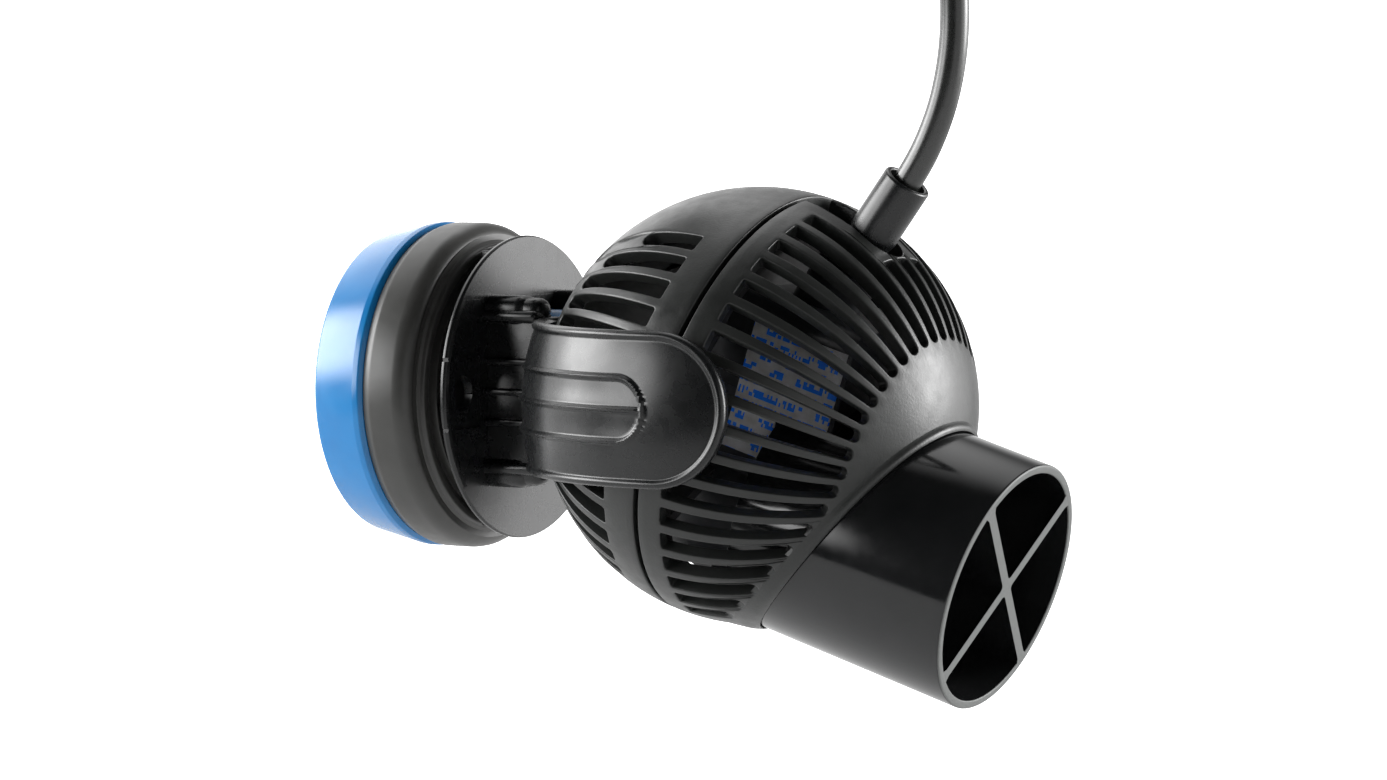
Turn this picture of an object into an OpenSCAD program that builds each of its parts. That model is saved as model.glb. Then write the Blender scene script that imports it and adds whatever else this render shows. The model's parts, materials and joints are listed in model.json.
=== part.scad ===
// Wave maker pump: a slotted ball with a propeller motor inside, held by a clasp on a magnet.
// Origin: centre of the pad's face that rests on the glass. +X points away from the glass, +Z is up.

/* [Magnet base] */
// Radius of the pad on the glass
pad_r = 32; // [28:0.5:33]
// Thickness of the pad
pad_t = 13.5; // [10:0.5:15]
// Radius of the magnet housing
base_r = 34.5; // [34:0.5:38]
// Distance from the glass to the front of the housing
base_front = 25; // [24:0.5:25]
// Radius of the rounded front shoulder
shoulder_r = 4; // [2:0.5:5]

/* [Cradle] */
// Radius of the cradle's round plate
plate_r = 32; // [31:0.5:34]
// Distance from the glass to the front of the plate
plate_front = 33; // [33:0.5:34]
// Thickness of the plate
plate_t = 2.6; // [2:0.1:3]
// Half height of each arm
arm_half = 15.8; // [14:0.1:17]
// How far the arm tips reach in front of the ball's centre
arm_reach = 18; // [14:0.5:19]
// Thickness of the arms
arm_t = 2.7; // [2:0.1:3.2]
// Gap between the ball and the arms
arm_gap = 1.3; // [1.2:0.1:1.6]

/* [Ball] */
// Outer radius of the ball
ball_r = 45; // [44:0.5:46]
// Wall thickness of the two shells
shell_t = 3; // [2.5:0.1:3.5]
// Distance from the glass to the ball's centre
ball_x = 89; // [88:0.5:92]
// Height of the ball's centre above the magnet's centre
ball_z = -2; // [-3:0.5:0]
// Downward tilt of the nozzle
pitch = 17.2; // [0:0.1:25]
// Width of the groove between the two shells
seam = 1.1; // [0.8:0.1:1.6]

/* [Slots] */
// Number of slot places round the ball
slot_count = 44; // [40:1:48]
// Angle that one slot takes up
slot_angle = 5.4; // [4:0.1:5.6]
// Distance of the front slots from the seam
front_slot_start = 5.6; // [5.2:0.1:7]
// Distance of the rear slots from the seam
rear_slot_start = 8.2; // [7:0.1:10]
// Radius of the smooth cap between the front slots
cap_r = 26.7; // [26.5:0.1:28]
// Radius of the smooth cap round the nozzle
nozzle_cap_r = 28.3; // [28:0.1:29]
// Radius of the smooth cap between the rear slots
rear_cap_r = 25.7; // [25:0.1:27]

/* [Nozzle] */
// Outer radius of the discharge nozzle
nozzle_r = 26; // [25.8:0.1:26.2]
// Wall thickness of the nozzle
nozzle_wall = 1.8; // [1.5:0.1:2]
// Distance of the nozzle's axis below the ball's centre
nozzle_drop = 16.2; // [16:0.1:17]
// Distance from the ball's centre to the nozzle's mouth
nozzle_mouth = 64.2; // [62:0.2:70]
// Length of the seat at the nozzle's end, for a pipe pushed over it
seat_l = 18; // [10:0.5:18]
// Thickness of the two ribs across the mouth
rib_t = 1.8; // [1.2:0.1:2.4]
// Depth of the two ribs
rib_depth = 12; // [8:1:20]

/* [Motor] */
// Outer radius of the motor barrel
motor_r = 18.5; // [18:0.1:19]
// Radius of the rotor magnet
rotor_r = 7.9; // [7:0.1:8]
// Radius of the shaft
shaft_r = 1.5; // [1.2:0.1:1.8]
// Radius of the propeller
propeller_r = 23.2; // [22:0.1:23.5]
// Number of propeller blades
blade_count = 4; // [3:1:5]

/* [Cord] */
// Diameter of the cord
cord_d = 6; // [6:0.1:6.2]
// Angle of the cable gland from the nozzle's direction
gland_angle = 71; // [70:0.5:73]
// Distance from the ball's centre to the gland's end
gland_end = 57.7; // [56:0.1:59]
// Radius of the gland
gland_r = 5.1; // [4.9:0.1:5.2]

/* [Hidden] */
$fn = 96;
e = 0.01;            // overlap of cutting tools
big = 200;
black = [0.07, 0.07, 0.075];
satin = [0.12, 0.12, 0.13];
blue = [0.16, 0.45, 0.85];
steel = [0.66, 0.67, 0.69];
copper = [0.75, 0.42, 0.2];

pocket_r = 25;       // magnet pocket
ledge_r = 30.3;      // turning ledge in front of the housing
ledge_t = 2;
turn_gap = 0.3;      // gap between the ledge and the cradle
stud_r = 8;
hub_r = 12;
plate_back = plate_front - plate_t;
arm_in = ball_r + arm_gap;
arm_out = arm_in + arm_t;
arm_root = 17.5;     // half width over the roots of the arms
arm_side = 8.5;      // distance of the arms' inner ends from the middle plane
bead_w = 1.7;
bead_h = 0.8;
ridge_half = 7.1;
ridge_w = 1.5;
ridge_reach = 1.5;   // how far the ridge passes the ball's centre
lug_r = 3;           // the lugs beside the arms' roots
lug_y = [11.5, 13.6];
lug_end = plate_front + 9.8;
grip_r = 6;
inner_r = ball_r - shell_t;
slot_pitch = 360 / slot_count;
nozzle_bore = nozzle_r - nozzle_wall;
nozzle_back = 14;
rim_bevel = 0.4;
seat_step = 0.3;     // how much wider the nozzle is behind the seat
socket_r = nozzle_r + seat_step + 0.04;
notch_w = 10.8;
notch_end = 16;
barrel_back = -22;
barrel_front = 13.5;
stator_r = 15.1;
stator_back = -14;
stator_front = 9;
well_r = 8.6;
well_t = 0.8;
pod = [[-18, -17.5, -12], [26, 17.5, 25]];
pod_corner = 4;
board = [[-14, -13, 11.5], [22, 13, 20]];
coil_r = 31;         // middle of the coil's turns
coil_half = 1.5 * cord_d;
coil_at = [11, 0, 128];
connector_r = 7;
connector_l = 38;
// Route of the cord from inside the gland to the coil on the glass, and from the coil to the connector
CORD_ROUTE = [
    [118.5, 0, 38.5], [123, 0, 44.5], [127.3, 0, 51.5], [130.8, 0, 60], [132.8, 0, 69], [133.4, 0, 78],
    [133, -0.5, 87], [131, -2, 96], [126.5, -4.5, 105], [119, -8, 113], [109, -12.5, 119],
    [97, -17.5, 122.5], [84, -22, 123.5], [70, -26, 121.5], [57, -29, 117], [45, -30.5, 110.5],
    [34.5, -29.5, 103], [26.5, -25, 96.5], [21.5, -18, 92.5], [18, -9.5, 91]
];
TAIL_ROUTE = [
    [22.6, -4, 99], [23.2, 4, 96.8], [25, 13, 97], [26.5, 21, 100.5], [27.2, 27.5, 107],
    [27.2, 30.5, 114], [27.2, 31, 121]
];

// ---------- helpers ----------

module pump_frame() translate([ball_x, 0, ball_z]) rotate([0, pitch, 0]) children();

// Turns a shape's Z axis to +X, its X axis to +Y and its Y axis to +Z
module along_x() rotate([90, 0, 90]) children();

module on_nozzle_axis() translate([0, 0, -nozzle_drop]) children();

// Cylinder along X from x0 to x1
module bar(x0, x1, r) translate([x0, 0, 0]) along_x() cylinder(r = r, h = x1 - x0);

module tube(x0, x1, r_out, r_in) {
    difference() {
        bar(x0, x1, r_out);
        bar(x0 - 1, x1 + 1, r_in);
    }
}

module block(low, high) translate(low) cube(high - low);

// Solid of revolution about X from [x, r] points
module turned_x(points) {
    along_x() rotate_extrude() polygon([for (p = points) [p[1], p[0]]]);
}

// Quarter circle as [x, r] points round the centre c, from angle a0 to a1
function arc(c, r, a0, a1, n = 6) =
    [for (i = [0:n]) let (a = a0 + (a1 - a0) * i / n) [c[0] + r * cos(a), c[1] + r * sin(a)]];

// Outline with one round end, from x0 to x1 and half as high as h
module tongue(x0, x1, h) {
    translate([x0, -h]) square([x1 - h - x0, 2 * h]);
    translate([x1 - h, 0]) circle(r = h);
}

// Extrudes an outline drawn in the XZ plane across both sides of the object
module across_y() {
    translate([0, 60, 0]) rotate([90, 0, 0]) linear_extrude(height = 120) children();
}

module ball(r) translate([ball_x, 0, ball_z]) sphere(r = r);

// ---------- magnet base ----------

module glass_pad() {
    color(blue)
    difference() {
        turned_x(concat(
            [[0, 0], [0, pad_r - 1]],
            arc([1, pad_r - 1], 1, 180, 100, 3),
            [[pad_t - 2, base_r], [pad_t, base_r], [pad_t, 0]]
        ));
        bar(3, pad_t + e, base_r - 4);
    }
}

module magnet_housing() {
    color(black)
    difference() {
        turned_x(concat(
            [[3.1, 0], [3.1, base_r - 4.2], [pad_t + 0.1, base_r - 4.2], [pad_t + 0.1, base_r]],
            arc([base_front - shoulder_r, base_r - shoulder_r], shoulder_r, 90, 0, 8),
            [[base_front, ledge_r], [base_front + ledge_t, ledge_r], [base_front + ledge_t, 26],
             [base_front, 25], [base_front, 0]]
        ));
        bar(3, 17.1, pocket_r);
        bar(17, base_front + 1, 5);
    }
}

module magnet_disc() color(steel) bar(5.3, 15, pocket_r - 0.3);

module back_iron() color(steel) bar(15, 17, pocket_r - 0.2);

module magnet_cover() color(black) bar(3.1, 5.2, pocket_r - 0.05);

module pivot_stud() {
    color(satin)
    difference() {
        union() {
            bar(base_front + e, plate_front + 0.1, stud_r);
            bar(17.3, base_front + 0.02, 4.9);
        }
        bar(20, plate_front + 1, 1.6);
    }
}

module stud_washer() color(steel) tube(plate_front + 0.1, plate_front + 1.1, stud_r + 0.7, 2.2);

module stud_screw() {
    color(steel)
    difference() {
        union() {
            bar(21, plate_front + 1.2, 1.55);
            bar(plate_front + 1.1, plate_front + 3.6, 3.8);
        }
        translate([plate_front + 2, 0, 0]) along_x() cylinder(r = 1.8, h = 2, $fn = 6);
    }
}

// ---------- cradle ----------

module plate_shape() {
    difference() {
        turned_x([
            [plate_back, 0], [plate_back, plate_r - 0.8], [plate_back + 0.5, plate_r],
            [plate_front - 0.9, plate_r], [plate_front - 0.25, plate_r - 0.35],
            [plate_front, plate_r - 1], [plate_front, 0]
        ]);
        for (s = [-1, 1]) {
            // screw hole in its shallow recess, and two nicks in the rim
            translate([0, 24.7 * s, 0]) bar(plate_back - 1, plate_front + 1, 3.7);
            block([plate_front - 0.6, 23.75 * s - 4.75, -7.3], [plate_front + 1, 23.75 * s + 4.75, 7.3]);
            for (t = [-1, 1])
                translate([plate_back - 1, 31.2 * s - 0.5, 7.3 * t - 0.5]) cube([6, 1, 1]);
            // lower level beyond the middle band
            translate([plate_front - 0.3, -40, s > 0 ? 19.3 : -59.3]) cube([1, 80, 40]);
        }
    }
    bar(base_front + ledge_t + turn_gap, plate_back + e, hub_r);
    intersection() {
        tube(base_front + ledge_t + turn_gap, plate_back + e, 31.2, 27);
        union() for (s = [-1, 1]) translate([0, -10, s > 0 ? 20 : -40]) cube([60, 20, 20]);
    }
}

// Skin of the arms between two radii
module arm_skin(r0, r1) {
    difference() {
        intersection() {
            ball(r1);
            across_y() children();
        }
        ball(r0);
        translate([0, -arm_side, -big / 2]) cube([big, 2 * arm_side, big]);
    }
}

module arms() {
    x1 = ball_x + arm_reach;
    xr = ball_x + ridge_reach;
    x0 = plate_front + 8;
    arm_skin(arm_in, arm_out) tongue(x0, x1, arm_half);
    arm_skin(arm_out - 0.3, arm_out + bead_h) difference() {
        tongue(x0 + 6, x1, arm_half);
        tongue(x0, x1 - bead_w, arm_half - bead_w);
    }
    arm_skin(arm_out - 0.3, arm_out + 0.7) difference() {
        tongue(x0 + 4, xr, ridge_half);
        tongue(x0, xr - ridge_w, ridge_half - ridge_w);
    }
    arm_skin(arm_out - 0.3, arm_out + 0.6) translate([x0 + 4, -0.7]) square([xr - x0 - 5, 1.4]);
}

// Stepped root between the plate and one arm, and the two lugs beside it
module arm_root_block() {
    difference() {
        union() {
            block([plate_front - 0.5, 9, -arm_half], [plate_front + 7, arm_root - 1.6, arm_half]);
            block([plate_front + 6, 9, -arm_half], [plate_front + 14, arm_root + 0.3, arm_half]);
            for (z = [-ridge_half + 0.8, 0, ridge_half - 0.8])
                block([plate_front - 0.5, 9, z - 0.8], [plate_front + 7, arm_root - 0.6, z + 0.8]);
        }
        ball(arm_in);
    }
    for (s = [-1, 1]) {
        z = (arm_half + 1) * s;
        for (y = lug_y)
            translate([0, y, z]) {
                bar(plate_front - 0.5, lug_end, lug_r);
                translate([lug_end, 0, 0]) sphere(r = lug_r);
            }
        block([plate_front - 0.5, lug_y[0], z - lug_r], [lug_end, lug_y[1], z + lug_r]);
        translate([0, lug_y[1], arm_half * s]) bar(plate_front - 0.5, lug_end - 2.3, lug_r + 0.6);
    }
}

module cradle() {
    color(satin)
    difference() {
        union() {
            plate_shape();
            arms();
            arm_root_block();
            mirror([0, 1, 0]) arm_root_block();
        }
        bar(base_front, plate_front + 1, stud_r + 0.08);
    }
}

module friction_ring() {
    color(blue)
    difference() {
        tube(plate_front, plate_front + 14, 16.5, 11);
        ball(ball_r + 0.3);
        for (s = [-1, 1])
            scale([1, s, 1]) translate([plate_front - 1, arm_side - 0.2, -big / 2]) cube([20, 20, big]);
    }
}

module grip_pads() {
    color(satin)
    difference() {
        intersection() {
            ball(ball_r + 1.05);
            translate([ball_x, 60, ball_z]) rotate([90, 0, 0]) cylinder(r = grip_r, h = 120);
        }
        ball(ball_r + 0.25);
    }
}

// ---------- ball ----------

// Outline of one slot at an angle from +Z, open outwards, with its round end at radius r0
module slot_outline(angle, r0) {
    h = slot_angle / 2;
    r1 = r0 / (1 - sin(h));
    rotate(-angle) polygon(concat(
        [[-50 * tan(h), 50], [50 * tan(h), 50]],
        arc([0, r1], r1 * sin(h), -h, h - 180, 6)
    ));
}

// Distance from the axis to the end of the front slot at angle a, which follows the smooth cap
function front_end(a) =
    let (side = cap_r / (sin(a) + 0.098 * cos(a)), c = -nozzle_drop * cos(a))
    a < 84 ? cap_r
    : -side * cos(a) < nozzle_drop ? side
    : c + sqrt(c * c + nozzle_cap_r * nozzle_cap_r - nozzle_drop * nozzle_drop);

function rear_end(a) = a < 90 ? rear_cap_r / sin(a) : rear_cap_r;

module front_slots() {
    for (k = [0:19], s = [-1, 1]) if (k > 0 || s > 0) {
        a = k * slot_pitch;
        start = k < 2 ? 22 : front_slot_start;
        translate([start, 0, 0]) along_x() linear_extrude(height = 50) slot_outline(s * a, front_end(a));
    }
}

module rear_slots() {
    for (k = [5:22], s = [-1, 1]) if (k < slot_count / 2 || s > 0) {
        a = k * slot_pitch;
        translate([-50 - rear_slot_start, 0, 0]) along_x()
            linear_extrude(height = 50) slot_outline(s * a, rear_end(a));
    }
}

module half_shell(side) {
    difference() {
        intersection() {
            along_x() sphere(r = ball_r);
            translate([side > 0 ? seam / 2 : -seam / 2 - big, -big / 2, -big / 2]) cube(big);
        }
        along_x() sphere(r = inner_r);
    }
}

module rear_shell() {
    color(black) pump_frame()
    difference() {
        half_shell(-1);
        rear_slots();
    }
}

module front_shell() {
    color(black) pump_frame()
    difference() {
        union() {
            half_shell(1);
            // raised lip round the nozzle
            intersection() {
                difference() {
                    along_x() sphere(r = ball_r + 0.8);
                    along_x() sphere(r = inner_r + 1);
                }
                on_nozzle_axis() bar(nozzle_back, big, nozzle_r + 1.5);
            }
        }
        on_nozzle_axis() bar(nozzle_back - 0.1, big, socket_r);
        front_slots();
        // notch that the cable gland slides into
        translate([-1, -notch_w / 2, 20]) cube([notch_end + 1, notch_w, 40]);
        translate([notch_end, 0, 20]) cylinder(d = notch_w, h = 40);
    }
}

module nozzle() {
    color(satin) pump_frame() on_nozzle_axis() {
        difference() {
            turned_x([
                [nozzle_back, nozzle_bore], [nozzle_back, nozzle_r + seat_step],
                [nozzle_mouth - rim_bevel - seat_l, nozzle_r + seat_step],
                [nozzle_mouth - rim_bevel - seat_l, nozzle_r], [nozzle_mouth - rim_bevel, nozzle_r],
                [nozzle_mouth, nozzle_r - rim_bevel], [nozzle_mouth, nozzle_bore + rim_bevel],
                [nozzle_mouth - rim_bevel, nozzle_bore]
            ]);
        }
        intersection() {
            bar(nozzle_mouth - rib_depth, nozzle_mouth, nozzle_bore + 0.5);
            union() {
                for (a = [45, 135])
                    rotate([a, 0, 0]) translate([0, -rib_t / 2, -40]) cube([80, rib_t, 80]);
                translate([0, -1.9, -1.9]) cube([80, 3.8, 3.8]);
            }
        }
    }
}

module joint_ring() color(black) pump_frame() tube(-5, 5, inner_r - 0.4, inner_r - 2.4);

// ---------- motor ----------

module pod_shape() {
    low = pod[0];
    high = pod[1];
    c = pod_corner;
    block([low[0], low[1] + c, low[2]], [high[0], high[1] - c, high[2]]);
    block([low[0], low[1], low[2]], [high[0], high[1], high[2] - c]);
    for (s = [-1, 1]) translate([0, s * (high[1] - c), high[2] - c]) bar(low[0], high[0], c);
}

// Motor barrel with the electronics pod and the boss under the gland, without its cavities
module motor_solid() {
    on_nozzle_axis() bar(barrel_back, barrel_front, motor_r);
    difference() {
        union() {
            pod_shape();
            gland_frame() cylinder(r = 7, h = 36);
        }
        on_nozzle_axis() bar(barrel_front - 0.1, 60, nozzle_r + 0.6);
        translate([0, 0, -big]) cube([big, big, big], center = true);
    }
}

module motor_mounts() {
    color(satin) pump_frame()
    difference() {
        for (a = [-125, -75, 75, 125])
            rotate([-a, 0, 0]) translate([-3, -1.2, 10]) cube([6, 2.4, inner_r - 2.45 - 10]);
        motor_solid();
    }
}

module motor_housing() {
    color([0.1, 0.1, 0.11]) pump_frame()
    difference() {
        motor_solid();
        on_nozzle_axis() {
            bar(stator_back - 3, stator_front + 3, stator_r + 0.05);
            bar(-20, 20, well_r + well_t + 0.02);
        }
        block(board[0], board[1]);
        gland_frame() translate([0, 0, 18]) cylinder(r = cord_d / 2 + 0.2, h = 30);
    }
}

module motor_label() {
    color([0.78, 0.8, 0.84]) pump_frame()
    difference() {
        block([3, pod[0][1] - 0.3, -6], [25, pod[0][1] - 0.02, 20.5]);
        on_nozzle_axis() bar(barrel_front - 0.1, 60, nozzle_r + 0.6);
    }
}

module stator_core() {
    color(steel) pump_frame() on_nozzle_axis() {
        tube(stator_back, stator_front, stator_r, stator_r - 2.5);
        difference() {
            for (a = [0:60:300])
                rotate([a, 0, 0]) translate([stator_back, -1.5, 9.6])
                    cube([stator_front - stator_back, 3, 4]);
            tube(stator_back - 1, stator_front + 1, 20, stator_r - 2.4);
        }
    }
}

module stator_coils() {
    color(copper) pump_frame() on_nozzle_axis()
    for (a = [0:60:300], s = [-1, 1])
        rotate([a, 0, 0]) translate([stator_back - 2.5, s > 0 ? 1.6 : -3.4, 9.7])
            cube([stator_front - stator_back + 5, 1.8, 2.2]);
}

module rotor_well() {
    color(satin) pump_frame() on_nozzle_axis()
    difference() {
        bar(-19.9, barrel_front, well_r + well_t);
        bar(-19, barrel_front + 1, well_r);
    }
}

module circuit_board() {
    z = board[0][2] + 1.8;
    color([0.1, 0.35, 0.2]) pump_frame() {
        block([board[0][0] + 1, -12, z - 1.6], [board[1][0] - 1, 12, z]);
        block([-10, -9, z], [-2, -1, z + 4.4]);
        block([2, -8, z], [10, 0, z + 1.6]);
        block([12, 2, z], [18, 9, z + 5.4]);
        translate([-5, 6, z]) cylinder(r = 3.5, h = 6.2);
        translate([4, 6, z]) cylinder(r = 2.5, h = 5.2);
    }
}

module bearing_plate() {
    color(satin) pump_frame() on_nozzle_axis()
    difference() {
        turned_x([[13.6, 0], [13.6, 16.5], [14.6, 16.5], [17.6, 6], [18.6, 6], [18.6, 0]]);
        bar(13, 20, 4);
    }
}

module rear_bearing()
    color([0.85, 0.85, 0.82]) pump_frame() on_nozzle_axis() tube(-19, -16, 4, shaft_r + 0.05);

module front_bearing() {
    color([0.85, 0.85, 0.82]) pump_frame() on_nozzle_axis() tube(13.8, 18.4, 3.97, shaft_r + 0.05);
}

module rotor_magnet() color(steel) pump_frame() on_nozzle_axis() tube(-15, 10, rotor_r, shaft_r + 0.01);

module shaft() color([0.9, 0.9, 0.88]) pump_frame() on_nozzle_axis() bar(-18.8, 37, shaft_r);

module propeller() {
    color(satin) pump_frame() on_nozzle_axis()
    difference() {
        union() {
            bar(20, 34, 5.5);
            for (k = [0:blade_count - 1])
                rotate([k * 360 / blade_count, 0, 0]) translate([21, 0, 0]) along_x()
                    linear_extrude(height = 12, twist = -50, slices = 10, segments = 8)
                        translate([4.5, -0.7]) square([propeller_r - 4.5, 1.4]);
        }
        bar(19, 35, shaft_r + 0.01);
    }
}

module propeller_nut() {
    color(steel) pump_frame() on_nozzle_axis()
    difference() {
        turned_x(concat([[34.1, 0], [34.1, 4.6]], arc([36, 0], 4.6, 80, 0, 8)));
        bar(33, 37.1, shaft_r + 0.01);
    }
}

// ---------- gland and cord ----------

// Z axis along the gland, from the ball's centre outwards
module gland_frame() rotate([0, 90 - gland_angle, 0]) children();

module cable_gland() {
    color(satin) pump_frame() gland_frame()
    difference() {
        union() {
            translate([0, 0, 38.6]) cylinder(r = gland_r + 0.1, h = 6);
            translate([0, 0, 38.6]) cylinder(r = gland_r, h = gland_end - 38.6 - 1.2);
            translate([0, 0, gland_end - 1.2]) cylinder(r1 = gland_r, r2 = gland_r - 0.9, h = 1.2);
            translate([0, 0, 36.1]) cylinder(r = 7, h = 2.5);
        }
        translate([0, 0, 30]) cylinder(r = cord_d / 2 + 0.3, h = 40);
    }
}

module gland_seal() {
    color(black) pump_frame() gland_frame()
    difference() {
        translate([0, 0, 37]) cylinder(r = cord_d / 2 + 0.25, h = 6);
        translate([0, 0, 36]) cylinder(r = cord_d / 2 - 1, h = 8);
    }
}

function unit(v) = v / norm(v);

// Point at t along the route, on a smooth curve through all its points
function curve_point(p, t) =
    let (n = len(p) - 1, i = min(floor(t), n - 1), u = t - i, a = p[max(i - 1, 0)], b = p[i],
         c = p[i + 1], d = p[min(i + 2, n)])
    0.5 * (2 * b + (c - a) * u + (2 * a - 5 * b + 4 * c - d) * u * u + (3 * b - a - 3 * c + d) * u * u * u);

function ring(p, t, r, sides) =
    let (n = len(p) - 1, at = curve_point(p, t),
         dir = unit(curve_point(p, min(t + 0.01, n)) - curve_point(p, max(t - 0.01, 0))),
         side = unit(cross(dir, [0.1, 1, 0.05])), up = cross(dir, side))
    [for (k = [0:sides - 1]) at + r * cos(k * 360 / sides) * side + r * sin(k * 360 / sides) * up];

// Tube of radius r swept along a route, with one or more rings for each of its points
module swept(p, r, per = 1, sides = 10) {
    rings = (len(p) - 1) * per;
    points = [for (j = [0:rings]) each ring(p, j / per, r, sides)];
    faces = concat(
        [[for (k = [0:sides - 1]) sides - 1 - k]],
        [for (j = [0:rings - 1], k = [0:sides - 1])
            let (a = j * sides + k, b = j * sides + (k + 1) % sides)
                each [[a, b, b + sides], [a, b + sides, a + sides]]],
        [[for (k = [0:sides - 1]) rings * sides + k]]
    );
    polyhedron(points = points, faces = faces, convexity = 6);
}

module cord() color(black) swept(CORD_ROUTE, cord_d / 2);

module cord_tail() color(black) swept(TAIL_ROUTE, cord_d / 2);

module coil_section() {
    w = coil_half;
    c = 2; // corner radius
    translate([coil_r - w + c, -w]) square([2 * w - 2 * c, 2 * w]);
    translate([coil_r - w, c - w]) square([2 * w, 2 * w - 2 * c]);
    for (x = [-1, 1], y = [-1, 1]) translate([coil_r + x * (w - c), y * (w - c)]) circle(r = c, $fn = 24);
}

module cord_coil() color(black) translate(coil_at) along_x() rotate_extrude() coil_section();

module coil_tie() {
    w = coil_half + 0.05;
    color(satin) translate(coil_at + [0, -coil_r, 0])
    difference() {
        block([-w - 1.3, -w - 1.3, -4], [w + 1.3, w + 1.7, 4]);
        block([-w, -w, -5], [w, w + 0.4, 5]);
    }
}

// X axis along the connector, from where the cord enters it
module connector_frame() translate(TAIL_ROUTE[len(TAIL_ROUTE) - 1]) rotate([0, -90, 0]) children();

module connector() {
    color(satin) connector_frame()
    difference() {
        union() {
            bar(0, 8, 4.6);
            bar(8, 28.5, connector_r - 0.4);
            bar(28.5, connector_l, 4.2);
        }
        bar(connector_l - 6, connector_l + 1, 3.3);
    }
}

module connector_nut() {
    color(satin) connector_frame()
    difference() {
        bar(28.8, connector_l - 0.6, connector_r);
        bar(28, connector_l, 4.25);
        for (a = [0:30:330])
            rotate([a, 0, 0]) translate([28, -0.5, connector_r - 0.5]) cube([12, 1, 2]);
    }
}

glass_pad();
magnet_housing();
magnet_disc();
back_iron();
magnet_cover();
pivot_stud();
stud_washer();
stud_screw();
cradle();
friction_ring();
grip_pads();
rear_shell();
front_shell();
nozzle();
joint_ring();
motor_mounts();
motor_housing();
motor_label();
stator_core();
stator_coils();
rotor_well();
circuit_board();
bearing_plate();
rear_bearing();
front_bearing();
cable_gland();
gland_seal();
cord();
cord_coil();
cord_tail();
coil_tie();
connector();
connector_nut();
rotor_magnet();
shaft();
propeller();
propeller_nut();
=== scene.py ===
"""Looks for the wave maker pump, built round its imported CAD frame.

Lengths are in millimetres, and MM turns them to metres. An object point is a point in the frame
of the CAD at rest.
"""
import json
import math

import bmesh
import bpy
import numpy as np
from mathutils import Matrix, Vector


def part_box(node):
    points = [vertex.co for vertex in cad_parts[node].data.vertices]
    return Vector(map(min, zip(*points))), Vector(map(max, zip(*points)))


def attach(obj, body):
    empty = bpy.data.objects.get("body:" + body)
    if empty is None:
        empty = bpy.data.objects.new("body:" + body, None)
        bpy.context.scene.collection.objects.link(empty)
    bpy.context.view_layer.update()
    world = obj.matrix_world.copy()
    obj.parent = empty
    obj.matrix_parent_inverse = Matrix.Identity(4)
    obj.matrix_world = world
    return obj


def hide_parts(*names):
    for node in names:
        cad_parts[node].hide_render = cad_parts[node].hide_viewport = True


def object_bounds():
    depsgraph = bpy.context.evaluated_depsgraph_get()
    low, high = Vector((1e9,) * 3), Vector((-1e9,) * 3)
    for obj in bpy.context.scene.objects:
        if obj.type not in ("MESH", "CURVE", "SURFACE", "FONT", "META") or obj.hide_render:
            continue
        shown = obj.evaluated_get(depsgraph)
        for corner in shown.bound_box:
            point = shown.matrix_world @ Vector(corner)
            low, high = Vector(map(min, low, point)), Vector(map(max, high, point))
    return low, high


MM = 0.001
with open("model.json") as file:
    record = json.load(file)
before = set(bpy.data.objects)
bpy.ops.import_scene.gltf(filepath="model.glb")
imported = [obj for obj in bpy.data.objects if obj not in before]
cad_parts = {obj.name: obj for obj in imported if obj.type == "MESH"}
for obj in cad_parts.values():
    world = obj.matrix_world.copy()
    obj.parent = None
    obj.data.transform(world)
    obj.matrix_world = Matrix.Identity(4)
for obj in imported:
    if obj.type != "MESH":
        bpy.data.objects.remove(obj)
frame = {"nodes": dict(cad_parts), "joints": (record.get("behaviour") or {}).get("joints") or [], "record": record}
cad_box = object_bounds()
record = frame["record"]
joints = {joint["name"]: joint for joint in frame["joints"]}
scene = bpy.context.scene


# ---------- places that the frame gives ----------

def low_high(node):
    """Lowest and highest corner of a CAD node in millimetres."""
    low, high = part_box(node)
    return np.array(low) / MM, np.array(high) / MM


ball_centre = np.array(joints["pump_tilt"]["pos_m"]) / MM
nozzle_axis = np.array(joints["propeller_spin"]["axis"])
spin_centre = np.array(joints["propeller_spin"]["pos_m"]) / MM
nozzle_drop = float(np.linalg.norm(spin_centre - ball_centre))
across = np.array([0.0, 1.0, 0.0])
pump_up = np.cross(nozzle_axis, across)


def pump(x, y, z):
    """Object point from the pump's own frame: x along the nozzle, z up, from the ball's centre."""
    return ball_centre + x * nozzle_axis + y * across + z * pump_up


# ---------- camera ----------

def set_camera():
    """The photograph's view: a long lens, a little above the pump, from its near right side."""
    azimuth, elevation = math.radians(30.0), math.radians(3.9)
    distance = 960.0
    aim_left, aim_up = 13.63, 3.2
    back = np.array([
        math.sin(azimuth) * math.cos(elevation),
        -math.cos(azimuth) * math.cos(elevation),
        math.sin(elevation),
    ])
    right = np.array([math.cos(azimuth), math.sin(azimuth), 0.0])
    up = np.cross(back, right)
    place = ball_centre + distance * back - aim_left * right + aim_up * up
    data = bpy.data.cameras.new("camera")
    data.sensor_width = 36.0
    data.lens = 121.35
    data.clip_start = 0.01
    data.clip_end = 100.0
    camera = bpy.data.objects.new("camera", data)
    turn = Matrix((right, up, back)).transposed().to_4x4()
    camera.matrix_world = Matrix.Translation(Vector(place * MM)) @ turn
    scene.collection.objects.link(camera)
    scene.camera = camera


set_camera()


# ---------- materials ----------

RANGE_SOCKETS = ("From Min", "From Max", "To Min", "To Max")


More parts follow.
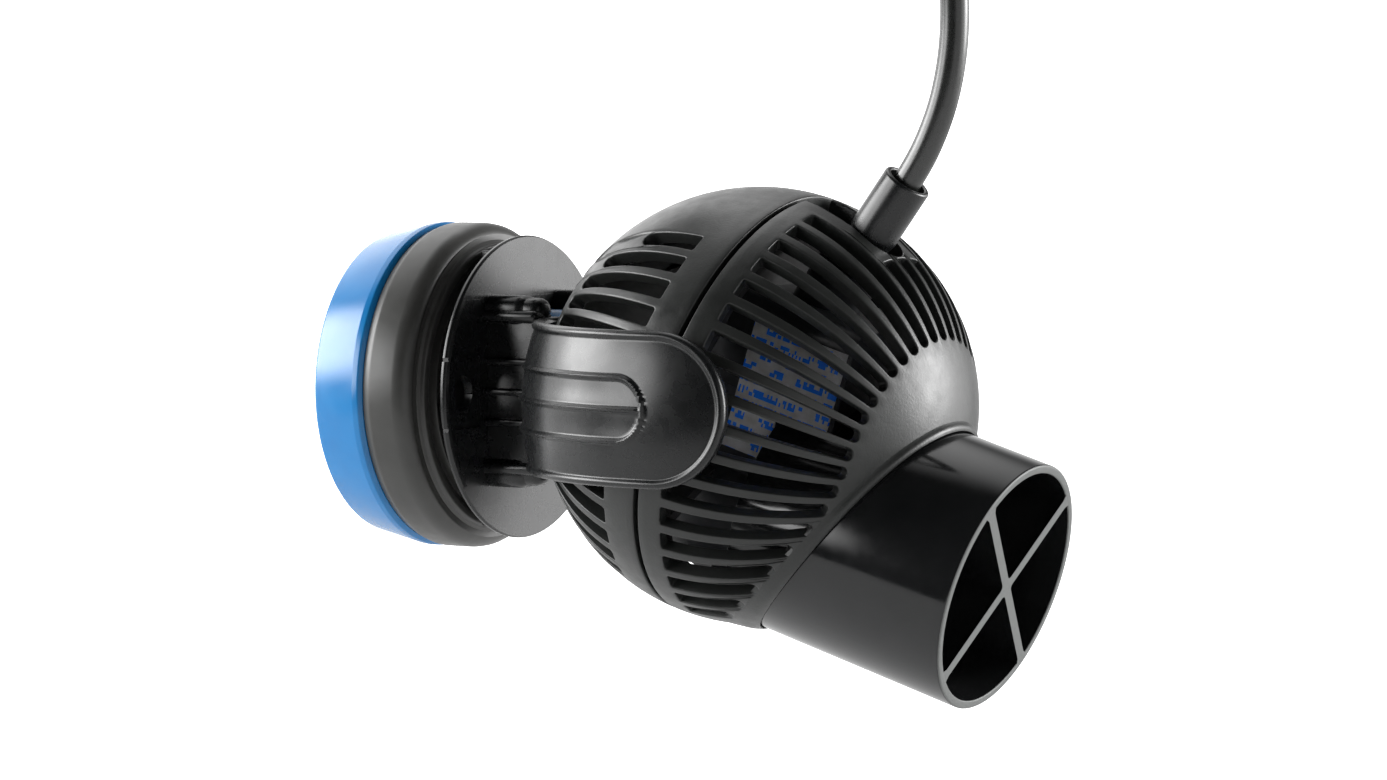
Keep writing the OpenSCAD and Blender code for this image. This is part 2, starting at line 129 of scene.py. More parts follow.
class Nodes:
    """One material's node tree, with short ways to add what the materials here share."""

    def __init__(self, name):
        self.material = bpy.data.materials.new(name)
        self.material.use_nodes = True
        self.tree = self.material.node_tree
        self.shader = self.tree.nodes["Principled BSDF"]
        self.place = self.tree.nodes.new("ShaderNodeTexCoord").outputs["Object"]

    def add(self, kind, **values):
        """A node with its plain settings and its sockets' numbers set by name."""
        node = self.tree.nodes.new(kind)
        for key, value in values.items():
            if hasattr(node, key):
                setattr(node, key, value)
            else:
                node.inputs[key.replace("_", " ").title()].default_value = value
        return node

    def link(self, source, target):
        self.tree.links.new(source, target)

    def noise(self, per_mm, detail=2.0, rough=0.5):
        """Noise whose features are about 1 / per_mm millimetres wide."""
        node = self.add("ShaderNodeTexNoise", scale=per_mm / MM, detail=detail, roughness=rough)
        self.link(self.place, node.inputs["Vector"])
        return node.outputs["Fac"]

    def spread(self, value, low, high, start=0.3, end=0.7):
        """Maps a value from start to end onto low to high."""
        node = self.add("ShaderNodeMapRange")
        for socket, number in zip(RANGE_SOCKETS, (start, end, low, high)):
            node.inputs[socket].default_value = number
        self.link(value, node.inputs["Value"])
        return node.outputs["Result"]

    def mix(self, factor, first, second):
        """Colour between two colours, or sockets, by a factor socket."""
        node = self.tree.nodes.new("ShaderNodeMix")
        node.data_type = "RGBA"
        self.link(factor, node.inputs["Factor"])
        for socket, colour in ((node.inputs[6], first), (node.inputs[7], second)):
            if isinstance(colour, tuple):
                socket.default_value = (*colour, 1.0)
            else:
                self.link(colour, socket)
        return node.outputs[2]

    def bump(self, layers):
        """Bump from (height socket, depth in millimetres) layers, one over the other."""
        normal = None
        for height, depth in layers:
            node = self.add("ShaderNodeBump")
            node.inputs["Strength"].default_value = 1.0
            node.inputs["Distance"].default_value = depth * MM
            self.link(height, node.inputs["Height"])
            if normal is not None:
                self.link(normal, node.inputs["Normal"])
            normal = node.outputs["Normal"]
        self.link(normal, self.shader.inputs["Normal"])

    def math(self, operation, first, second=None):
        """A sum on two sockets or numbers."""
        node = self.add("ShaderNodeMath", operation=operation)
        for socket, value in zip(node.inputs, (first, second)):
            if isinstance(value, (int, float)):
                socket.default_value = value
            elif value is not None:
                self.link(value, socket)
        return node.outputs[0]

    def along(self, way, start):
        """Distance in millimetres along a direction, counted from an object point."""
        node = self.add("ShaderNodeVectorMath", operation="DOT_PRODUCT")
        node.inputs[1].default_value = tuple(way)
        self.link(self.place, node.inputs[0])
        distance = self.math("DIVIDE", node.outputs["Value"], MM)
        return self.math("SUBTRACT", distance, float(np.dot(way, start)))

    def constant(self, **values):
        """Sets the shader's sockets to numbers."""
        for key, value in values.items():
            self.shader.inputs[key.replace("_", " ")].default_value = value


def plastic(name, dark, light, rough, grain, grain_per_mm, waves=0.0, specular=0.5):
    """Moulded plastic or rubber: mottled colour, uneven gloss, fine grain and a slow waviness."""
    n = Nodes(name)
    mottle = n.noise(0.12, 4.0)
    specks = n.noise(grain_per_mm, 3.0, 0.6)
    tone = n.mix(n.spread(mottle, 0.0, 1.0), dark, light)
    n.link(tone, n.shader.inputs["Base Color"])
    low, high = rough
    n.link(n.spread(n.noise(0.35, 3.0), low, high), n.shader.inputs["Roughness"])
    layers = [(specks, grain)]
    if waves:
        layers.append((n.noise(0.09, 1.0), waves))
    n.bump(layers)
    n.constant(Specular_IOR_Level=specular)
    return n.material


def metal(name, colour, rough, per_mm=0.8):
    """Turned or plated metal with fine marks."""
    n = Nodes(name)
    fine = n.noise(per_mm * 4.0, 3.0)
    n.link(n.mix(n.spread(n.noise(per_mm), 0.0, 1.0), colour, tuple(0.8 * c for c in colour)),
           n.shader.inputs["Base Color"])
    n.link(n.spread(fine, rough - 0.08, rough + 0.08), n.shader.inputs["Roughness"])
    n.bump([(fine, 0.01)])
    n.constant(Metallic=1.0)
    return n.material


ROW_HEIGHT, MARK_WIDTH, WORD_WIDTH = 2.6, 0.42, 3.1
INK_START, INK_CHANGE, INK_END = 0.12, 0.42, 0.72       # shares of a row's height
BLANK_MARKS, BLANK_WORDS = 0.4, 0.25                    # shares of all of them


def label_print(name):
    """Pale label with rows of short blue marks in place of its printing."""
    n = Nodes(name)
    along_row, up = n.along(nozzle_axis, ball_centre), n.along(pump_up, ball_centre)
    row = n.math("FLOOR", n.math("DIVIDE", up, ROW_HEIGHT))
    in_row = n.math("FRACT", n.math("DIVIDE", up, ROW_HEIGHT))
    cell = n.math("FLOOR", n.math("DIVIDE", along_row, MARK_WIDTH))
    spot = n.add("ShaderNodeCombineXYZ")
    n.link(cell, spot.inputs["X"])
    upper_half = n.math("MULTIPLY", n.math("GREATER_THAN", in_row, INK_CHANGE), 0.5)
    n.link(n.math("ADD", row, upper_half), spot.inputs["Y"])
    chance = n.add("ShaderNodeTexWhiteNoise", noise_dimensions="2D")
    n.link(spot.outputs[0], chance.inputs["Vector"])
    ink = n.math("GREATER_THAN", chance.outputs["Value"], BLANK_MARKS)
    word = n.add("ShaderNodeCombineXYZ")
    n.link(n.math("FLOOR", n.math("DIVIDE", along_row, WORD_WIDTH)), word.inputs["X"])
    n.link(row, word.inputs["Y"])
    gap = n.add("ShaderNodeTexWhiteNoise", noise_dimensions="2D")
    n.link(word.outputs[0], gap.inputs["Vector"])
    ink = n.math("MULTIPLY", ink, n.math("GREATER_THAN", gap.outputs["Value"], BLANK_WORDS))
    ink = n.math("MULTIPLY", ink, n.math("GREATER_THAN", in_row, INK_START))
    ink = n.math("MULTIPLY", ink, n.math("LESS_THAN", in_row, INK_END))
    paper = n.mix(n.spread(n.noise(0.4, 3.0), 0.0, 1.0), (0.36, 0.35, 0.36), (0.46, 0.47, 0.5))
    n.link(n.mix(ink, paper, (0.01, 0.16, 0.75)), n.shader.inputs["Base Color"])
    n.link(n.spread(n.noise(1.5, 2.0), 0.3, 0.42), n.shader.inputs["Roughness"])
    n.bump([(n.noise(0.5, 2.0), 0.02)])
    return n.material


PAINTED_RIM_HIGHLIGHT_FROM = 63.98    # along the nozzle, where the mouth's end face starts: duller, and paler as a painted highlight


def nozzle_gloss(name):
    """Glossy black plastic. Its end face at the mouth is duller, and paler as a painted highlight along the rim.
    """
    n = Nodes(name)
    # end: mask of the mouth's end face, which carries the painted highlight
    end = n.math("GREATER_THAN", n.along(nozzle_axis, ball_centre), PAINTED_RIM_HIGHLIGHT_FROM)
    mottle = n.spread(n.noise(0.12, 4.0), 0.0, 1.0)
    black = n.mix(mottle, (0.007, 0.0075, 0.008), (0.011, 0.0115, 0.012))
    # pale: the painted highlight on the mouth's end face, not a colour of the plastic
    pale = n.mix(n.spread(n.noise(2.5, 3.0), 0.0, 1.0), (0.085, 0.09, 0.087), (0.115, 0.12, 0.117))
    n.link(n.mix(end, black, pale), n.shader.inputs["Base Color"])
    gloss = n.spread(n.noise(0.35, 3.0), 0.09, 0.14)
    n.link(n.math("ADD", gloss, n.math("MULTIPLY", end, 0.35)), n.shader.inputs["Roughness"])
    n.bump([(n.noise(3.0, 3.0), 0.0006), (n.noise(0.07, 1.0), 0.06)])
    return n.material


PLASTICS = {
    # darkest and lightest colour, range of roughness, depth of the grain, grains in a millimetre,
    # depth of the waviness, and the specular level where it isn't 0.5
    "matte_black": ((0.013, 0.014, 0.0135), (0.018, 0.0195, 0.0185), (0.31, 0.4), 0.034, 1.9, 0.04),
    "satin_black": ((0.0055, 0.006, 0.0063), (0.0085, 0.0092, 0.0097), (0.25, 0.3), 0.0002, 2.4, 0.05),
    "rubbery_black": ((0.042, 0.042, 0.040), (0.054, 0.054, 0.0515), (0.32, 0.4), 0.0012, 3.4, 0.06),
    "soft_black": ((0.008, 0.008, 0.008), (0.013, 0.013, 0.013), (0.5, 0.6), 0.006, 3.0),
    "motor_black": ((0.012, 0.013, 0.015), (0.02, 0.021, 0.023), (0.3, 0.4), 0.004, 3.0),
    "cord_black": ((0.010, 0.0105, 0.010), (0.014, 0.015, 0.014), (0.24, 0.3), 0.0004, 2.0, 0.03, 0.8),
    "tie_black": ((0.01, 0.01, 0.01), (0.03, 0.03, 0.03), (0.7, 0.85), 0.15, 2.2),
    "blue_silicone": ((0.010, 0.175, 0.46), (0.014, 0.205, 0.51), (0.18, 0.24), 0.0003, 1.0, 0.05),
    "board_green": ((0.02, 0.12, 0.05), (0.03, 0.18, 0.08), (0.3, 0.4), 0.01, 2.0),
    "ceramic": ((0.7, 0.7, 0.66), (0.8, 0.8, 0.76), (0.15, 0.22), 0.002, 2.0),
}
materials = {
    **{name: plastic(name, *values) for name, values in PLASTICS.items()},
    "gloss_black": nozzle_gloss("gloss_black"),
    "label_grey": label_print("label_grey"),
    "steel": metal("steel", (0.6, 0.6, 0.62), 0.3),
    "magnet": metal("magnet", (0.42, 0.42, 0.44), 0.25),
    "iron": metal("iron", (0.35, 0.35, 0.36), 0.4),
    "copper": metal("copper", (0.7, 0.33, 0.13), 0.3, 2.5),
}
slot_of = {part["node"]: part["material_slot"] for part in record["subparts"]}


def finish_piece(piece, body, slot, replaced=()):
    """Gives a piece its body, its material slot and material, and the CAD nodes that it stands for."""
    piece.data.materials.clear()
    piece.data.materials.append(materials[slot])
    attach(piece, body)
    if replaced:
        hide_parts(*replaced)
    return piece


# ---------- cord ----------

CORD_D = 6.0
CORD_ROUTE = [
    # object points from inside the gland, over the pump and to the coil
    (118.5, 0, 38.5), (123, 0, 44.5), (127.3, 0, 51.5), (130.8, 0, 60), (132.8, 0, 69), (133.4, 0, 78),
    (133, -0.5, 87), (131, -2, 96), (126.5, -4.5, 105), (119, -8, 113), (109, -12.5, 119),
    (97, -17.5, 122.5), (84, -22, 123.5), (70, -26, 121.5), (57, -29, 117), (45, -30.5, 110.5),
    (34.5, -29.5, 103), (26.5, -25, 96.5), (21.5, -18, 92.5), (18, -9.5, 91),
]
TAIL_ROUTE = [
    # object points from the coil up into the connector
    (22.6, -4, 99), (23.2, 4, 96.8), (25, 13, 97), (26.5, 21, 100.5), (27.2, 27.5, 107),
    (27.2, 30.5, 114), (27.2, 31, 121),
]


def smooth_route(points, per=10):
    """Points on a smooth curve through all the given points."""
    before, after = 2 * np.array(points[0]) - points[1], 2 * np.array(points[-1]) - points[-2]
    p = np.array([before, *points, after], float)
    made = []
    for a, b, c, d in zip(p, p[1:], p[2:], p[3:]):
        square, cube = 2 * a - 5 * b + 4 * c - d, 3 * b - a - 3 * c + d
        for u in np.arange(per) / per:
            made.append(0.5 * (2 * b + (c - a) * u + square * u**2 + cube * u**3))
    made.append(np.array(points[-1], float))
    return made


def coil_turns(per_turn=40):
    """Nine turns in three layers, one cord diameter apart.

    places holds each turn's layer from the outside and its row. The cord steps over to the next place
    just before it comes round to the bottom.
    """
    low, high = low_high("cord_coil")
    centre = (low + high) / 2
    outer = (high[2] - low[2]) / 2 - CORD_D / 2
    places = [(0, 1), (0, 0), (0, -1), (1, -1), (2, -1), (2, 0), (1, 0), (1, 1), (2, 1)]
    step_start, step_end, last = math.radians(285), math.radians(335), math.radians(282)
    made = []
    for turn, (layer, row) in enumerate(places):
        following = places[min(turn + 1, len(places) - 1)]
        for i in range(per_turn):
            angle = 2 * math.pi * i / per_turn
            if turn == len(places) - 1 and angle > last:
                break
            u = min(max((angle - step_start) / (step_end - step_start), 0), 1)
            s = u * u * (3 - 2 * u)
            radius = outer - CORD_D * (layer + (following[0] - layer) * s)
            x = centre[0] + CORD_D * (row + (following[1] - row) * s)
            made.append((x, centre[1] + radius * math.sin(angle), centre[2] - radius * math.cos(angle)))
    return made


def make_cord():
    """One curve from the gland over the pump, through the coil, to the connector."""
    coil = coil_turns()
    line = smooth_route(CORD_ROUTE + coil[1::2] + TAIL_ROUTE, 6)
    data = bpy.data.curves.new("cord", "CURVE")
    data.dimensions = "3D"
    data.bevel_depth = CORD_D / 2 * MM
    data.bevel_resolution = 5
    data.use_fill_caps = True
    spline = data.splines.new("POLY")
    spline.points.add(len(line) - 1)
    for point, at in zip(spline.points, line):
        point.co = (*(np.array(at) * MM), 1.0)
    spline.use_smooth = True
    cord = bpy.data.objects.new("power_cord", data)
    scene.collection.objects.link(cord)
    finish_piece(cord, "pump", "cord_black", ("cord", "cord_coil", "cord_tail"))
    return cord


power_cord = make_cord()


# ---------- mesh code ----------

class Shape:
    """Rows of object points joined into a mesh."""

    def __init__(self):
        self.points, self.faces = [], []

    def loft(self, rows, closed=False):
        """Joins rows that hold the same number of points with quads. Closed rows run round."""
        first, n = len(self.points), len(rows[0])
        for row in rows:
            self.points.extend(row)
        for j in range(len(rows) - 1):
            for i in range(n if closed else n - 1):
                a, b = first + j * n + i, first + j * n + (i + 1) % n
                self.faces.append((a, b, b + n, a + n))
        return self

    def close_ends(self, n):
        """Faces over the first and the last row, of n points each."""
        total = len(self.points)
        self.faces += [tuple(range(n)), tuple(range(total - n, total))]
        return self

    def piece(self, name, sharp=40.0, weld=0.002):
        """The object, with points closer than weld joined and edges over sharp degrees kept sharp."""
        mesh = bpy.data.meshes.new(name)
        mesh.from_pydata([tuple(np.array(p) * MM) for p in self.points], [], self.faces)
        tidy = bmesh.new()
        tidy.from_mesh(mesh)
        bmesh.ops.remove_doubles(tidy, verts=tidy.verts, dist=weld * MM)
        bmesh.ops.dissolve_degenerate(tidy, edges=tidy.edges, dist=1e-7)
        bmesh.ops.recalc_face_normals(tidy, faces=tidy.faces)
        tidy.to_mesh(mesh)
        tidy.free()
        made = bpy.data.objects.new(name, mesh)
        scene.collection.objects.link(made)
        smooth(made, sharp)
        return made


def smooth(made, sharp):
    """Smooth shading, apart from edges sharper than an angle in degrees."""
    made.data.shade_smooth()
    made.data.set_sharp_from_angle(angle=math.radians(sharp))


def apply_modifiers(made):
    """Puts the mesh that the modifiers make in place of the piece's own."""
    graph = bpy.context.evaluated_depsgraph_get()
    mesh = bpy.data.meshes.new_from_object(made.evaluated_get(graph))
    made.modifiers.clear()
    made.data = mesh


def cut(made, *tools):
    """Takes the tools' shapes away from a piece."""
    for tool in tools:
        modifier = made.modifiers.new("cut", "BOOLEAN")
        modifier.operation = "DIFFERENCE"
        modifier.solver = "EXACT"
        modifier.object = tool
    apply_modifiers(made)
    for tool in tools:
        bpy.data.objects.remove(tool)


def join(made, *others):
    """Adds other pieces' meshes to a piece."""
    whole = bmesh.new()
    for piece in (made, *others):
        whole.from_mesh(piece.data)
    whole.to_mesh(made.data)
    whole.free()
    for piece in others:
        bpy.data.objects.remove(piece)


# ---------- the ball ----------

BALL_R = (low_high("rear_shell")[1][1] - low_high("rear_shell")[0][1]) / 2
SHELL_T = 3.0
INNER_R = BALL_R - SHELL_T
SEAM = 1.1                      # width of the gap between the shells
SLOTS = 44                      # places for slots all round, with place 0 at the top
PITCH = 2 * math.pi / SLOTS
SLOT_HALF = math.radians(2.7)   # half a slot's width round the axis
FRONT_CAP, REAR_CAP = 26.7, 25.7    # where the slots end, from the ball's axis
NOZZLE_CAP = 28.3               # where they end beside the nozzle, from its axis
ROUND_CAP = math.radians(84)    # the front cap is round as far as this from the top
CAP_LEAN = 0.098                # slope of the front cap's sides below that
LAST_FRONT = 19                 # the places under the nozzle have no slot
NOTCH_PLACES = 2                # slots nearer the top than this start beyond the cord's notch
FRONT_START, NOTCHED_START, REAR_START = 5.6, 22.0, 8.2     # from the seam
REAR_PLACES = range(5, 23)
NOZZLE_HOLE_R = 26.14
BACK_BEVEL = 0.2                # on the slots' edges at the inner face
BELT_ROWS, BELT_COLUMNS = 26, 10    # rows of points and columns of faces in each place's sector
BELT_START, RIM_ROW = 4.0, 2.4  # where the sectors start, and the last row of the rim before them
SECTOR = np.linspace(PITCH / 2, -PITCH / 2, BELT_COLUMNS + 1)
AROUND = [i * PITCH / BELT_COLUMNS for i in range(SLOTS * BELT_COLUMNS)]


def front_end(angle):
    """Distance from the axis to a front slot's end, which follows the smooth cap."""
    if angle < ROUND_CAP:
        return FRONT_CAP
    side = FRONT_CAP / (math.sin(angle) + CAP_LEAN * math.cos(angle))
    if -side * math.cos(angle) < nozzle_drop:
        return side
    c = -nozzle_drop * math.cos(angle)
    return c + math.sqrt(c * c + NOZZLE_CAP**2 - nozzle_drop**2)


def rear_end(angle):
    """Distance from the axis to a rear slot's end: a straight line in the upper half, and an arc below."""
    return REAR_CAP / math.sin(angle) if angle < math.pi / 2 else REAR_CAP


def front_slot(k):
    """Start from the seam and end radius of the front slot at place k, or None."""
    k = abs(k)
    if k > LAST_FRONT:
        return None
    return (NOTCHED_START if k < NOTCH_PLACES else FRONT_START, front_end(k * PITCH))


def rear_slot(k):
    """Start from the seam and end radius of the rear slot at place k, or None."""
    k = abs(k)
    return (REAR_START, rear_end(k * PITCH)) if k in REAR_PLACES else None


def on_ball(side, angle, v, radius):
    """Point at an angle from the top round the axis, v along the meridian from the seam, on a sphere."""
    lean = v / BALL_R
    ring = radius * math.cos(lean)
    return pump(side * radius * math.sin(lean), ring * math.sin(angle), ring * math.cos(angle))


def slot_half(v):
    """Half the width of a slot, v along the meridian from the seam."""
    return SLOT_HALF * BALL_R * math.cos(v / BALL_R)


def mirrored(points):
    """The (u, v) points on the other side of u = 0, in the opposite order."""
    return [(-u, v) for u, v in reversed(points)]


def slot_loop(start, end, corner=0.6):
    """Outline of one slot as (u, v), u across the slot and v along the meridian.

    It runs along the right side, round the end, back along the left side and along the start. It has
    as many points as the edge of its sector.
    """
    v0, v1 = BALL_R * math.asin(start / BALL_R), BALL_R * math.acos(end / BALL_R)
    centre = v1
    for _ in range(4):
        centre = v1 - slot_half(centre)
    top = v0 + corner
    edge = slot_half(top) - corner

    def round_corner(degrees):
        return [(edge + corner * math.sin(a), top - corner * math.cos(a)) for a in np.radians(degrees)]

    side = round_corner([45, 60, 75, 90])
    side += [(slot_half(v), v) for v in np.linspace(top, centre, BELT_ROWS - 2)[1:]]
    turn, half_turn = slot_half(centre), np.linspace(0, math.pi, BELT_COLUMNS + 1)[1:-1]
    round_end = [(turn * math.cos(a), centre + turn * math.sin(a)) for a in half_turn]
    arc = round_corner([30, 15, 0])
    middle = [(u, v0) for u in np.linspace(edge, -edge, BELT_COLUMNS - 5)[1:-1]]
    start_row = arc + middle + mirrored(arc)
    return side + round_end + mirrored(side) + start_row[::-1]


def offset_loop(loop, distance):
    """The outline moved outwards by a distance."""
    p = np.array(loop)
    along = np.roll(p, -1, 0) - np.roll(p, 1, 0)
    along /= np.linalg.norm(along, axis=1)[:, None]
    out = np.stack([-along[:, 1], along[:, 0]], 1)
    if ((out * (p - p.mean(0))).sum()) < 0:
        out = -out
    return p + out * distance


def plain_sector(shape, side, middle, row_v):
    """Both faces of a sector without a slot."""
    for radius in (BALL_R, INNER_R):
        shape.loft([[on_ball(side, middle + a, v, radius) for a in SECTOR] for v in row_v])


def slotted_sector(shape, side, middle, row_v, found, round_off):
    """Both faces of a sector and the slot's wall between them, with its outer edge rounded."""
    edge = [(PITCH / 2, v) for v in row_v] + [(a, row_v[-1]) for a in SECTOR[1:-1]]
    edge += [(-PITCH / 2, v) for v in reversed(row_v)] + [(a, BELT_START) for a in SECTOR[-2:0:-1]]
    edge = np.array([(a * BALL_R * math.cos(v / BALL_R), v) for a, v in edge])
    slot = np.array(slot_loop(*found))
    brink = offset_loop(slot, round_off)
    back = offset_loop(slot, BACK_BEVEL)
    loops = [(edge, BALL_R), ((edge + brink) / 2, BALL_R), (brink, BALL_R)]
    for turn in np.radians([22.5, 45, 67.5, 90]):
        out, down = round_off * (1 - math.sin(turn)), round_off * (1 - math.cos(turn))
        loops.append((slot + (brink - slot) * out / round_off, BALL_R - down))
    loops += [(slot, BALL_R - SHELL_T / 2), (slot, INNER_R + BACK_BEVEL), (back, INNER_R), (edge, INNER_R)]
    shape.loft([
        [on_ball(side, middle + u / (BALL_R * math.cos(v / BALL_R)), v, radius) for u, v in loop]
        for loop, radius in loops
    ], closed=True)


def shell_cap(shape, side, last_row):
    """Both faces of the closed cap beyond the belt of slots."""
    cap_v = list(np.linspace(last_row, BALL_R * math.pi / 2 - 1.0, 14))
    for radius in (BALL_R, INNER_R):
        shape.loft([[on_ball(side, a, v, radius) for a in AROUND] for v in cap_v], closed=True)
        tip = len(shape.points)
        shape.points.append(on_ball(side, 0, BALL_R * math.pi / 2, radius))
        ring = range(tip - len(AROUND), tip)
        shape.faces += [(a, b, tip) for a, b in zip(ring, [*ring[1:], ring[0]])]


def shell_rim(shape, side, r):
    """The rim at the seam, from the inner face to the belt, with its outer edge rounded by r."""
    flat = SEAM / 2
    quarter = np.radians([0, 30, 60, 90])
    rows = [[on_ball(side, a, BELT_START, INNER_R) for a in AROUND]]
    for x, radius in (
        (flat, INNER_R),
        *((flat + r * (1 - math.cos(t)), BALL_R - r * (1 - math.sin(t))) for t in quarter),
        (RIM_ROW, BALL_R),
    ):
        rho = math.sqrt(radius**2 - x**2)
        rows.append([pump(side * x, rho * math.sin(a), rho * math.cos(a)) for a in AROUND])
    rows.append([on_ball(side, a, BELT_START, BALL_R) for a in AROUND])
    shape.loft(rows, closed=True)


def half_ball(name, side, slot_at, round_off, last_row):
    """One shell of the ball: its belt of slots, sector by sector, its cap, and its rim at the seam."""
    share = np.concatenate([[0, 0.012, 0.024, 0.036], np.linspace(0.036, 1, BELT_ROWS - 2)[1:]])
    row_v = BELT_START + share * (last_row - BELT_START)
    shape = Shape()
    for k in range(-SLOTS // 2 + 1, SLOTS // 2 + 1):
        found = slot_at(k)
        if found is None:
            plain_sector(shape, side, k * PITCH, row_v)
        else:
            slotted_sector(shape, side, k * PITCH, row_v, found, round_off)
    shell_cap(shape, side, last_row)
    shell_rim(shape, side, round_off)
    return shape.piece(name)


def turned(profile, centre=(0, 0, 0), along=(1, 0, 0), steps=160):
    """Rows of a solid of revolution from the (distance along, radius) points of its closed section."""
    along = np.array(along, float)
    up = np.array([0.0, 0.0, 1.0]) if abs(along[2]) < 0.5 else np.array([1.0, 0.0, 0.0])
    side = np.cross(up, along)
    side /= np.linalg.norm(side)
    up = np.cross(along, side)
    turns = np.linspace(0, 2 * math.pi, steps, endpoint=False)
    centre = np.array(centre, float)
    rows = [
        [centre + x * along + r * (math.cos(t) * up + math.sin(t) * side) for t in turns]
        for x, r in profile
    ]
    return rows + rows[:1]


def gland_notch():
    """Tool for the notch that the gland slides into.

    It is wider at the outer face, so that the notch's edge comes out rounded.
    """
    half, end, straight = 5.4, 16.0, (-2.0, 4.0, 8.0, 12.0)
    line = [(x, -half) for x in straight]
    half_turn = np.linspace(-math.pi / 2, math.pi / 2, 17)
    line += [(end + half * math.cos(a), half * math.sin(a)) for a in half_turn]
    line += [(x, half) for x in reversed(straight)]
    levels = [(0, 36.0), (0, BALL_R - 0.5), (0.12, BALL_R - 0.2), (0.5, BALL_R + 0.1), (2.5, BALL_R + 2.1)]
    rows = []
    for grow, height in levels:
        row = []
        for x, y in line:
            away = np.array([max(x - end, 0), y])
            size = np.linalg.norm(away)
            x2, y2 = np.array([x, y]) + (away / size * grow if size else 0)
            z = math.sqrt(max(height**2 - min(x2, 30) ** 2 - y2**2, 1))
            row.append(pump(x2, y2, z))
        rows.append(row)
    return Shape().loft(rows, closed=True).close_ends(len(line)).piece("notch_tool")


def make_ball():
    """The two slotted shells, the front one with the nozzle's hole and lip and the gland's notch."""
    rear = half_ball("ball_rear", -1, rear_slot, round_off=0.32, last_row=48.0)
    finish_piece(rear, "pump", "matte_black", ("rear_shell",))
    front = half_ball("ball_front", 1, front_slot, round_off=0.28, last_row=46.5)
    section = [(10, 0.01), (10, NOZZLE_HOLE_R), (90, NOZZLE_HOLE_R), (90, 0.01)]
    bore = Shape().loft(turned(section, spin_centre, nozzle_axis), closed=True)
    cut(front, bore.piece("bore_tool"), gland_notch())
    join(front, collar())
    smooth(front, 40)
    finish_piece(front, "pump", "matte_black", ("front_shell",))


# ---------- solids from outlines ----------

ALMOST_STRAIGHT = 1.55      # half a corner's angle in radians, from which it isn't rounded


def rounded(corners, steps=5):
    """A closed outline from (x, y, radius) corners, each one rounded."""
    made = []
    for i, (x, y, radius) in enumerate(corners):
        here = np.array([x, y], float)
        back = np.array(corners[i - 1][:2]) - here
        on = np.array(corners[(i + 1) % len(corners)][:2]) - here
        back, on = back / np.linalg.norm(back), on / np.linalg.norm(on)
        half = math.acos(float(np.clip(back @ on, -1, 1))) / 2
        if radius == 0 or half > ALMOST_STRAIGHT:
            made.append((x, y))
            continue
        centre = here + (back + on) / np.linalg.norm(back + on) * radius / math.sin(half)
        start = here + back * radius / math.tan(half) - centre
        end = here + on * radius / math.tan(half) - centre
        turn = math.atan2(start[0] * end[1] - start[1] * end[0], float(start @ end))
        for t in np.linspace(0, turn, steps + 1):
            made.append((centre[0] + start[0] * math.cos(t) - start[1] * math.sin(t),
                         centre[1] + start[0] * math.sin(t) + start[1] * math.cos(t)))
    return made


def lathe(name, corners, centre=(0, 0, 0), along=(1, 0, 0), steps=160, sharp=35.0):
    """A solid of revolution. Its section has (distance along, radius, rounding) corners."""
    return Shape().loft(turned(rounded(corners), centre, along, steps), closed=True).piece(name, sharp)


def extruded(name, outline, place, low, high, bevel=0.25, sharp=35.0):
    """An outline of (x, y) points given a depth, with rounded ends.

    place turns (x, y, depth) into an object point.
    """
    quarter = np.radians([0, 30, 60, 90])
    ends = [(low + bevel * (1 - math.cos(t)), bevel * (1 - math.sin(t))) for t in quarter]
    ends += [(high - bevel * (1 - math.cos(t)), bevel * (1 - math.sin(t))) for t in quarter[::-1]]
    rows = [[place(x, y, z) for x, y in offset_loop(outline, -inset)] for z, inset in ends]
    return Shape().loft(rows, closed=True).close_ends(len(outline)).piece(name, sharp)


def soft_block(name, low, high, radius, steps=4):
    """A block with every edge rounded."""
    low, high = np.array(low, float), np.array(high, float)
    middle, reach = (low + high) / 2, (high - low) / 2 - radius
    rows = []
    for side, start in ((-1, -math.pi / 2), (1, 0.0)):
        for lat in np.linspace(start, start + math.pi / 2, steps + 1):
            row = []
            for quarter, (sx, sy) in enumerate(((1, 1), (-1, 1), (-1, -1), (1, -1))):
                for lon in np.linspace(quarter, quarter + 1, steps + 1) * math.pi / 2:
                    row.append(middle + reach * (sx, sy, side) + radius * np.array([
                        math.cos(lat) * math.cos(lon), math.cos(lat) * math.sin(lon), math.sin(lat)]))
            rows.append(row)
    shape = Shape().loft(rows, closed=True)
    last = len(shape.points) - len(rows[0])
    for first in (0, last):
        shape.faces.append(tuple(first + (steps + 1) * q for q in range(4)))
    return shape.piece(name)


def plain_block(name, low, high):
    """A block with sharp edges, for cutting."""
    corners = [(low[0], low[1]), (high[0], low[1]), (high[0], high[1]), (low[0], high[1])]
    rows = [[(x, y, z) for x, y in corners] for z in (low[2], high[2])]
    return Shape().loft(rows, closed=True).close_ends(4).piece(name)


def soften(made, width, steps=2, angle=32.0):
    """Rounds the sharp edges that the cuts left."""
    modifier = made.modifiers.new("soften", "BEVEL")
    modifier.width = width * MM
    modifier.segments = steps
    modifier.limit_method = "ANGLE"
    modifier.angle_limit = math.radians(angle)
    apply_modifiers(made)


# ---------- nozzle ----------

NOZZLE_R, NOZZLE_BORE = 26.0, 24.2
NOZZLE_BACK, NOZZLE_MOUTH = 14.0, 64.2
RIB_HALF, RIB_DEPTH = 0.85, 12.0
RIB_FOOT = 0.9                  # how much a rib widens to each side at the wall


def nozzle_point(x, y, z):
    """Object point from the place along the nozzle's axis, and across it."""
    return pump(x, y, z - nozzle_drop)


